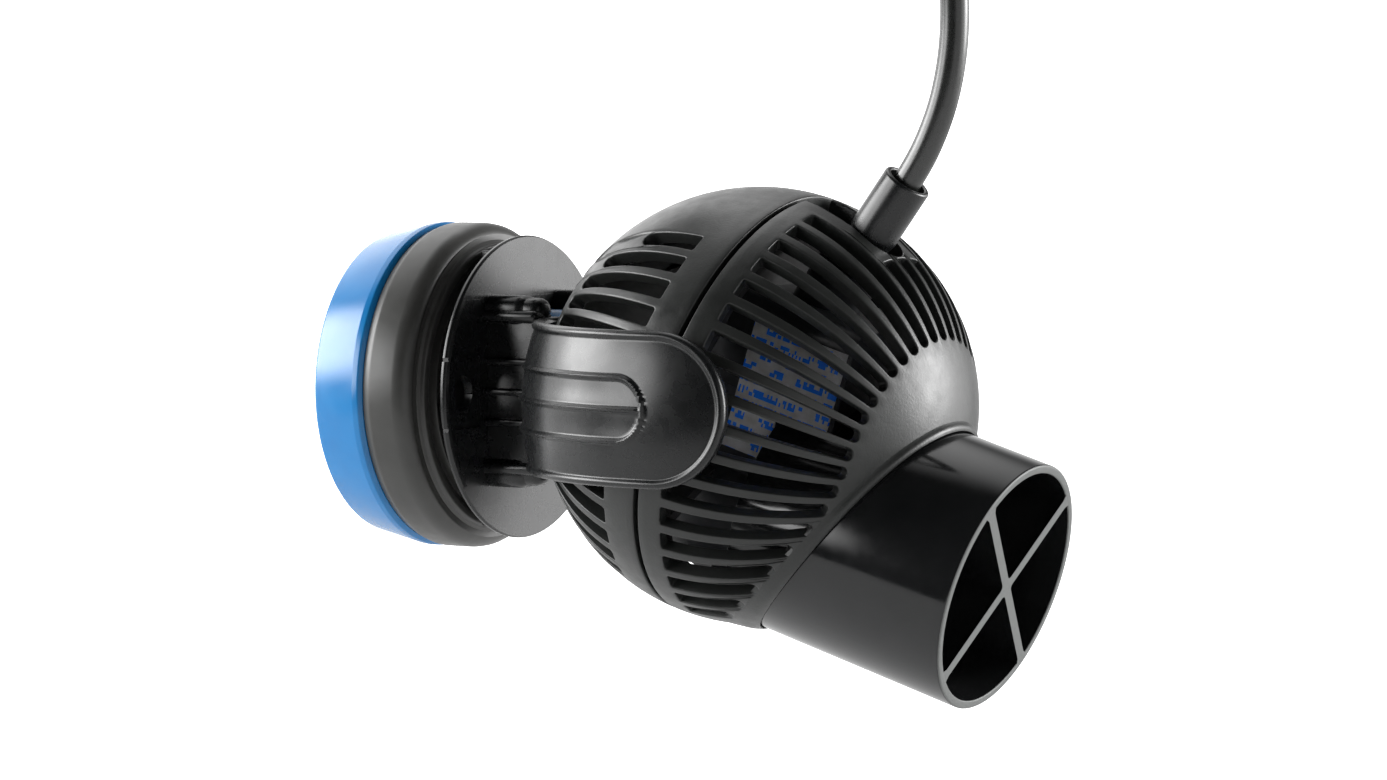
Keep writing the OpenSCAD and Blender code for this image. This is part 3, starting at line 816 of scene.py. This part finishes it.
def make_nozzle():
    """The discharge tube, with the X of ribs in its mouth."""
    tube = lathe("nozzle_tube", [
        (NOZZLE_BACK, NOZZLE_BORE, 0.3), (NOZZLE_BACK, NOZZLE_R, 0.3), (NOZZLE_MOUTH, NOZZLE_R, 0.5),
        (NOZZLE_MOUTH, NOZZLE_BORE, 0.3), (NOZZLE_MOUTH - 8, NOZZLE_BORE - 0.05, 0.0),
    ], pump(0, 0, -nozzle_drop), nozzle_axis, 192)
    wall = NOZZLE_BORE + 0.2
    rib = [(RIB_HALF, -RIB_HALF, 1.3), (wall - 1.1, -RIB_HALF, 1.0), (wall, -RIB_HALF - RIB_FOOT, 0),
           (wall, RIB_HALF + RIB_FOOT, 0), (wall - 1.1, RIB_HALF, 1.0)]
    corners = []
    for t in np.radians([45, 135, 225, 315]):
        cos, sin = math.cos(t), math.sin(t)
        corners += [(u * cos - v * sin, u * sin + v * cos, r) for u, v, r in rib]
    cross = extruded("ribs", rounded(corners), lambda y, z, x: nozzle_point(x, y, z),
                     NOZZLE_MOUTH - RIB_DEPTH, NOZZLE_MOUTH - 0.02, 0.3)
    join(tube, cross)
    smooth(tube, 35)
    finish_piece(tube, "pump", "gloss_black", ("nozzle",))


COLLAR = [
    # distance from the nozzle's axis, and from the ball's centre
    (NOZZLE_HOLE_R, 44.2), (NOZZLE_HOLE_R, 45.3), (26.2, 45.6), (26.38, 45.8), (26.7, 45.85), (27.1, 45.8),
    (27.4, 45.62), (27.6, 45.35), (27.85, 45.1), (28.1, 44.9), (27.9, 44.2),
]


def collar():
    """Raised lip of the front shell round the nozzle."""
    turns = np.linspace(0, 2 * math.pi, 180, endpoint=False)
    rows = []
    for away, radius in COLLAR:
        row = []
        for t in turns:
            y, z = away * math.cos(t), away * math.sin(t)
            rest = radius**2 - y**2 - (z - nozzle_drop) ** 2
            row.append(nozzle_point(math.sqrt(max(rest, 1.0)), y, z))
        rows.append(row)
    return Shape().loft(rows + rows[:1], closed=True).piece("collar")


# ---------- holder ----------

def hill(t):
    """A rounded ridge's height, 1 on its middle line and 0 from t = 1."""
    return (1 - t * t) ** 2 if abs(t) < 1 else 0.0


ARM_HALF, ARM_TIP = 15.8, 107.0
ARM_OUT, ARM_IN = 49.0, 46.3
ARM_START_Y, ARM_START_BACK = 9.0, 48.0     # nearest to the middle, and furthest behind the ball's centre
RIDGE_HALF, RIDGE_TIP, RIDGE_W, RIDGE_HIGH = 7.1, 90.5, 1.5, 0.7
MIDRIB_TIP, MIDRIB_HALF, MIDRIB_HIGH = 88.5, 0.75, 0.62
HOLLOW = 0.16
ARM_EDGE = [
    # inset from the outline, and distance from the ball's centre
    (0.5, 46.3), (0.15, 46.42), (0.0, 46.75), (0.0, 47.6), (0.04, 48.3), (0.14, 48.8), (0.32, 49.2),
    (0.58, 49.5), (0.9, 49.66), (1.2, 49.7), (1.48, 49.65), (1.7, 49.5), (1.86, 49.32), (1.98, 49.12),
    (2.14, 49.02), (2.4, 49.0),
]


def arm_height(x, z):
    """Height of the ridge and the middle rib above the arm's skin, less the hollows between them."""
    bend = RIDGE_TIP - RIDGE_HALF
    inside = RIDGE_HALF - (abs(z) if x < bend else math.hypot(x - bend, z))
    ridge = RIDGE_HIGH * hill((inside - RIDGE_W / 2) / (RIDGE_W / 2))
    rib = MIDRIB_HIGH * hill(math.hypot(max(x - MIDRIB_TIP, 0), z) / MIDRIB_HALF)
    hollow = HOLLOW * hill((abs(z) - RIDGE_HALF / 2) / (RIDGE_HALF / 2)) if inside > 0 else 0.0
    return max(ridge, rib) - hollow


def arm_point(side, x, z, radius):
    """Object point over (x, z), at a distance from the ball's centre."""
    across_x, across_z = x - ball_centre[0], z - ball_centre[2]
    y = math.sqrt(max(ARM_OUT**2 - across_x**2 - across_z**2, 0.0))
    return ball_centre + np.array([across_x, side * y, across_z]) * radius / ARM_OUT


def arm_outline(inset, straight=150, turn=56):
    """The arm's outline as (x, z), from its root along the top, round its tip and back."""
    cx, cz = ball_centre[0], ball_centre[2]
    half, bend = ARM_HALF - inset, ARM_TIP - ARM_HALF
    edges = []
    for z in (half, -half):
        ring = math.sqrt(ARM_OUT**2 - (z - cz) ** 2)
        start = max(math.asin(ARM_START_Y / ring), math.acos(min(ARM_START_BACK / ring, 1)))
        end = math.pi - math.acos((bend - cx) / ring)
        edges.append([(cx - ring * math.cos(a), z) for a in np.linspace(start, end, straight)])
    half_turn = np.linspace(math.pi / 2, -math.pi / 2, turn)[1:-1]
    tip = [(bend + half * math.cos(a), half * math.sin(a)) for a in half_turn]
    return edges[0] + tip + edges[1][::-1]


def make_arm(side):
    """One arm: rows from the middle of its inner face, round its edge, to the middle of its outer face."""
    under = [(inset, ARM_IN) for inset in (ARM_HALF, 13, 10, 7, 4, 2)]
    rows = [
        [arm_point(side, x, z, radius) for x, z in arm_outline(inset)] for inset, radius in under + ARM_EDGE
    ]
    for inset in np.linspace(2.6, ARM_HALF, 68):
        rows.append([arm_point(side, x, z, ARM_OUT + arm_height(x, z)) for x, z in arm_outline(inset)])
    shape = Shape().loft(rows)
    n, total = len(rows[0]), len(shape.points)
    shape.faces += [tuple(range(0, total, n)), tuple(range(n - 1, total, n))]
    return shape.piece("arm", 50.0)


PLATE_BACK, PLATE_FRONT, PLATE_R = 30.4, 33.0, 32.0


def make_root(side):
    """Neck between the plate and one arm, its ribs, and the two lugs beside it."""
    outline = rounded([(32.4, 9.0, 0), (47.0, 9.0, 0), (47.0, 16.1, 0.7), (32.4, 15.9, 0)])
    if side < 0:
        outline = [(x, -y) for x, y in reversed(outline)]
    neck = extruded("neck", outline, lambda x, y, z: (x, y, z), -15.6, 15.6, 0.5)
    blocks = []

    def block(low, high, radius):
        ys = sorted((side * low[1], side * high[1]))
        blocks.append(soft_block("block", (low[0], ys[0], low[2]), (high[0], ys[1], high[2]), radius))

    for z in (-6.35, 0.0, 6.35):
        block((32.0, 14.0, z - 0.75), (46.0, 17.0, z + 0.75), 0.6)
    for end in (-1, 1):
        z = end * (ARM_HALF + 1)
        block((30.8, 9.6, z - 3.2), (42.8, 17.2, z + 3.2), 2.6)
        block((38.0, 10.4, z - 2.7), (46.2, 16.5, z + 2.8), 2.5)
        block((31.0, 11.0, end * ARM_HALF - 1.3), (46.0, 18.0, end * ARM_HALF + 1.3), 1.2)
    half_circle = [
        (-ARM_IN * math.cos(t), max(ARM_IN * math.sin(t), 0.01), 0) for t in np.linspace(0, math.pi, 61)
    ]
    cut(neck, lathe("ball_tool", half_circle, ball_centre, (1, 0, 0), 120))
    join(neck, *blocks)
    return neck


SCREW_Y, SCREW_R = 24.7, 3.7
RECESS_Y, RECESS_HALF_Y, RECESS_HALF_Z, RECESS_DEEP = 23.75, 4.75, 7.3, 0.6
NOTCH_Y, NOTCH_HALF_Z = (30.7, 33.2), 0.4       # notches in the rim, in line with the recess's ends
STEP_Z, STEP_DEEP = 19.3, 0.3
TOOL_BACK, TOOL_FRONT = 27, 36                  # behind and in front of the plate


def plate_tools(side):
    """What is cut from one side of the plate, and the step above (side 1) or below (side -1) it."""
    hole = lathe("hole_tool", [
        (TOOL_BACK, 0.01, 0), (TOOL_BACK, SCREW_R, 0), (TOOL_FRONT, SCREW_R, 0), (TOOL_FRONT, 0.01, 0),
    ], (0, SCREW_Y * side, 0), (1, 0, 0), 64)
    recess = plain_block("recess_tool",
                         (PLATE_FRONT - RECESS_DEEP, RECESS_Y * side - RECESS_HALF_Y, -RECESS_HALF_Z),
                         (TOOL_FRONT, RECESS_Y * side + RECESS_HALF_Y, RECESS_HALF_Z))
    tools = [hole, recess]
    y_low, y_high = sorted(y * side for y in NOTCH_Y)
    for z in (-RECESS_HALF_Z, RECESS_HALF_Z):
        tools.append(plain_block("notch_tool", (PLATE_BACK - 1, y_low, z - NOTCH_HALF_Z),
                                 (TOOL_FRONT, y_high, z + NOTCH_HALF_Z)))
    z_low, z_high = sorted(z * side for z in (STEP_Z, STEP_Z + 40))
    tools.append(plain_block("step_tool", (PLATE_FRONT - STEP_DEEP, -40, z_low), (TOOL_FRONT, 40, z_high)))
    return tools


def make_holder():
    """The cradle: its plate, the two bridges behind it, the roots and the arms."""
    plate = lathe("clasp", [
        (27.3, 8.08, 0.1), (27.3, 12.0, 0.3), (PLATE_BACK, 12.0, 0.6), (PLATE_BACK, PLATE_R - 3.4, 0.6),
        (31.35, PLATE_R - 2.9, 0.5), (31.5, PLATE_R - 0.1, 0.2), (32.2, PLATE_R, 0.3),
        (32.75, PLATE_R - 0.35, 0.3), (PLATE_FRONT, PLATE_R - 1.1, 0.4), (PLATE_FRONT, 8.08, 0.2),
    ])
    cut(plate, *plate_tools(-1), *plate_tools(1))
    soften(plate, 0.12)
    bridges = [
        soft_block("bridge", (27.4, -9.8, z - 2.4), (30.8, 9.8, z + 2.4), 0.4) for z in (26.6, -26.6)
    ]
    join(plate, *bridges, make_arm(1), make_arm(-1), make_root(1), make_root(-1))
    smooth(plate, 42)
    finish_piece(plate, "cradle", "satin_black", ("cradle",))


# ---------- magnet base ----------

def make_base():
    """The pad on the glass and the magnet holder's drum in it."""
    pad = lathe("blue_pad", [
        (0, 0.01, 0), (0, 32.0, 1.3), (11.4, 34.5, 1.5), (12.7, 34.5, 0.5), (13.5, 33.7, 0.3),
        (13.5, 30.5, 0.2), (3.0, 30.5, 0.2), (3.0, 0.01, 0),
    ], steps=220)
    finish_piece(pad, "magnet_base", "blue_silicone", ("glass_pad",))
    housing = lathe("magnet_shell", [
        (3.1, 25.0, 0.1), (3.1, 30.3, 0.3), (13.62, 30.3, 0.2), (13.62, 33.7, 0.3),
        (15.6, 34.5, 2.0), (25.0, 34.5, 4.0),
        (25.0, 31.9, 0.35), (24.4, 31.7, 0.2), (24.4, 31.1, 0.2), (25.1, 30.9, 0.3),
        (25.5, 30.3, 0.2), (26.4, 30.0, 0.55), (26.4, 28.4, 0.3), (25.2, 28.0, 0.2),
        (25.2, 26.6, 0.2), (27.0, 26.3, 0.3), (27.0, 25.6, 0.35), (25.0, 25.0, 0.4),
        (25.0, 5.0, 0.3), (17.1, 5.0, 0.1), (17.1, 25.0, 0.1),
    ], steps=220)
    finish_piece(housing, "magnet_base", "rubbery_black", ("magnet_housing",))


# ---------- gland, connector and tie ----------

GLAND_ANGLE = math.radians(71.0)
gland_way = math.cos(GLAND_ANGLE) * nozzle_axis + math.sin(GLAND_ANGLE) * pump_up


def make_gland():
    """The round gland that the cord comes out of."""
    gland = lathe("gland_tube", [
        (36.1, 3.3, 0.1), (36.1, 7.0, 0.3), (38.6, 7.0, 0.3), (38.6, 4.7, 0.3), (43.2, 4.72, 1.5),
        (44.6, 5.1, 1.5), (57.7, 5.1, 0.62), (57.7, 3.95, 0.42), (54.6, 3.9, 0.2), (54.2, 3.25, 0.1),
    ], ball_centre, gland_way, 72)
    finish_piece(gland, "pump", "satin_black", ("cable_gland",))


NUT_GROOVES, GROOVE_DEEP = 12, 0.38
GROOVE_SHARE = 0.6                  # how much of the way round the grooves take up
NUT_GRIP_R = 6.4                    # the grooves fade out below this radius


def make_connector():
    """The plug on the cord's end and the nut on it."""
    low, high = low_high("connector")
    foot = np.array([(low[0] + high[0]) / 2, (low[1] + high[1]) / 2, low[2]])
    up = (0.0, 0.0, 1.0)
    sleeve = [(0, 3.02, 0), (0, 4.2, 0.5)]
    for x in (2.2, 3.9, 5.6):
        sleeve += [(x, 4.4, 0.15), (x + 0.2, 3.9, 0.1), (x + 0.8, 3.9, 0.1), (x + 1.0, 4.45, 0.15)]
    sleeve += [
        (8.0, 4.6, 0.3), (8.2, 6.3, 0.9), (26.0, 6.6, 0.3), (26.3, 6.2, 0.15), (27.0, 6.2, 0.15),
        (27.3, 6.6, 0.2), (28.5, 6.6, 0.4), (28.5, 4.2, 0.2), (38.0, 4.2, 0.4), (38.0, 3.3, 0.2),
        (32.0, 3.3, 0.1), (32.0, 0.6, 0.0), (31.0, 0.6, 0.0), (31.0, 3.02, 0.0),
    ]
    body = lathe("plug_body", sleeve, foot, up, 96)
    finish_piece(body, "pump", "satin_black", ("connector",))
    rows = []
    for x, r in rounded([(28.8, 4.25, 0.1), (28.8, 7.0, 0.5), (37.4, 7.0, 0.5), (37.4, 4.25, 0.2)]):
        deep = GROOVE_DEEP * max(0.0, min((r - NUT_GRIP_R) / 0.3, 1.0))
        row = []
        for t in np.linspace(0, 2 * math.pi, 240, endpoint=False):
            from_groove = (NUT_GROOVES * t / math.pi) % 2 - 1
            reach = r - deep * hill(from_groove / GROOVE_SHARE)
            row.append(foot + np.array([reach * math.cos(t), reach * math.sin(t), x]))
        rows.append(row)
    nut = Shape().loft(rows + rows[:1], closed=True).piece("plug_nut")
    finish_piece(nut, "pump", "satin_black", ("connector_nut",))
    return body, nut


STRAP_T, WEAVE, WEAVE_TURN = 1.25, 0.08, 4.2        # WEAVE_TURN: radians in a millimetre


def square_loop(middle, reach, radius, z):
    """A row at one height round a square with rounded corners."""
    corners = [(reach * x, reach * y, radius) for x, y in ((1, 1), (-1, 1), (-1, -1), (1, -1))]
    return [(middle[0] + x, middle[1] + y, z) for x, y in rounded(corners, 8)]


def make_tie():
    """Woven strap round the coil, with its end turned back through a small loop."""
    low, high = low_high("coil_tie")
    middle = (low + high) / 2
    half = (high[0] - low[0]) / 2
    middle[1] = low[1] + half
    rows = []
    for z in np.linspace(low[2] + 0.2, high[2] - 0.2, 15):
        weave = WEAVE * math.cos((z - low[2]) * WEAVE_TURN)
        rows.append(square_loop(middle, half - 0.15 + weave, 4.1, z))
    rows += [square_loop(middle, half - STRAP_T, 3.0, z) for z in (high[2] - 0.25, low[2] + 0.25)]
    strap = Shape().loft(rows + rows[:1], closed=True).piece("coil_strap", 50)
    keeper = soft_block("keeper", (middle[0] - 2.2, low[1] + 0.02, low[2]),
                        (middle[0] + 2.2, low[1] + 2.2, high[2]), 0.55)
    tail = soft_block("tail", (middle[0] - 7.5, low[1] + 0.01, low[2] + 0.6),
                      (middle[0] + 1.5, low[1] + 0.9, high[2] - 0.6), 0.4)
    join(strap, keeper, tail)
    smooth(strap, 45)
    return finish_piece(strap, "pump", "tie_black", ("coil_tie",))


RING_HALF, RING_IN, RING_OUT = 5, 39.6, 41.6
WALL_BACK, WALL_FRONT, WALL_IN, WALL_OUT = -4.6, -3.2, 24.0, 40.2
WALL_SPAN = 78                      # degrees to each side of the top


def make_baffle():
    """Seam ring with the wall behind it that closes the upper half of the ball off."""
    ring = lathe("seam_ring", [
        (-RING_HALF, RING_IN, 0.3), (-RING_HALF, RING_OUT, 0.3),
        (RING_HALF, RING_OUT, 0.3), (RING_HALF, RING_IN, 0.3),
    ], ball_centre, nozzle_axis)
    turns = np.radians(np.linspace(-WALL_SPAN, WALL_SPAN, 90))
    section = [(WALL_BACK, WALL_IN), (WALL_BACK, WALL_OUT), (WALL_FRONT, WALL_OUT), (WALL_FRONT, WALL_IN)]
    rows = [[pump(x, r * math.sin(t), r * math.cos(t)) for t in turns] for x, r in section + section[:1]]
    wall = Shape().loft(rows)
    n = len(turns)
    wall.faces += [tuple(n * i for i in range(4)), tuple(n * (i + 1) - 1 for i in range(4))]
    join(ring, wall.piece("wall"))
    finish_piece(ring, "pump", "soft_black", ("joint_ring",))


make_ball()
make_baffle()
make_nozzle()
make_holder()
make_base()
make_gland()
make_tie()
make_connector()


# ---------- finishes of the CAD nodes that stay ----------

for name, node in frame["nodes"].items():
    node.data.materials.clear()
    node.data.materials.append(materials[slot_of[name]])
    smooth(node, 30)


# ---------- light, floor and background ----------

SOFT_BOXES = [
    # direction it comes from, strength, and the cosines where it starts and where it is full
    ((-0.90, -0.31, 0.30), 11.5, 0.94, 0.985),
    ((-0.99, -0.05, -0.02), 1.4, 0.85, 0.97),
    ((-0.86, 0.50, 0.06), 1.5, 0.80, 0.97),
    ((-0.64, -0.74, 0.20), 7.5, 0.94, 0.985),
    ((-0.50, 0.30, 0.80), 1.8, 0.78, 0.95),
    ((-0.15, 0.60, 0.79), 0.3, 0.80, 0.97),
    ((0.75, 0.62, 0.18), 12.5, 0.93, 0.985),
    ((0.94, 0.30, 0.05), 2.0, 0.85, 0.97),
    ((0.50, 0.87, 0.08), 2.4, 0.87, 0.97),
    ((-0.50, 0.86, -0.05), 1.0, 0.80, 0.97),
    ((0.85, -0.50, 0.00), 0.7, 0.85, 0.97),
]


def studio_world():
    """Soft boxes round the object in a dark room. Camera rays see a white sweep."""
    world = bpy.data.worlds.new("studio")
    scene.world = world
    world.use_nodes = True
    tree = world.node_tree
    background = tree.nodes["Background"]
    direction = tree.nodes.new("ShaderNodeTexCoord").outputs["Generated"]

    def added(first, second):
        node = tree.nodes.new("ShaderNodeMath")
        node.operation = "ADD"
        tree.links.new(first, node.inputs[0])
        tree.links.new(second, node.inputs[1])
        return node.outputs["Value"]

    light = tree.nodes.new("ShaderNodeLightPath").outputs["Is Camera Ray"]
    for way, strength, start, full in SOFT_BOXES:
        dot = tree.nodes.new("ShaderNodeVectorMath")
        dot.operation = "DOT_PRODUCT"
        dot.inputs[1].default_value = Vector(way).normalized()
        tree.links.new(direction, dot.inputs[0])
        fade = tree.nodes.new("ShaderNodeMapRange")
        fade.interpolation_type = "SMOOTHSTEP"
        for socket, number in zip(RANGE_SOCKETS, (start, full, 0.0, strength)):
            fade.inputs[socket].default_value = number
        tree.links.new(dot.outputs["Value"], fade.inputs["Value"])
        light = added(light, fade.outputs["Result"])
    tree.links.new(light, background.inputs["Strength"])
    background.inputs["Color"].default_value = (1.0, 1.0, 1.0, 1.0)


FLOOR_R, FLOOR_BELOW = 1.6, 0.3     # metres


def make_studio():
    """The world, and a pale floor disc below the object, which stands clear of it."""
    studio_world()
    place = (0.1, 0, cad_box[0][2] - FLOOR_BELOW)
    bpy.ops.mesh.primitive_circle_add(vertices=128, radius=FLOOR_R, fill_type="NGON", location=place)
    floor = bpy.context.object
    floor.name = "floor"
    pale = plastic("floor_pale", (0.78, 0.78, 0.78), (0.82, 0.82, 0.82), (0.7, 0.8), 0.05, 0.05)
    floor.data.materials.append(pale)
    scene.view_settings.view_transform = "Standard"


make_studio()
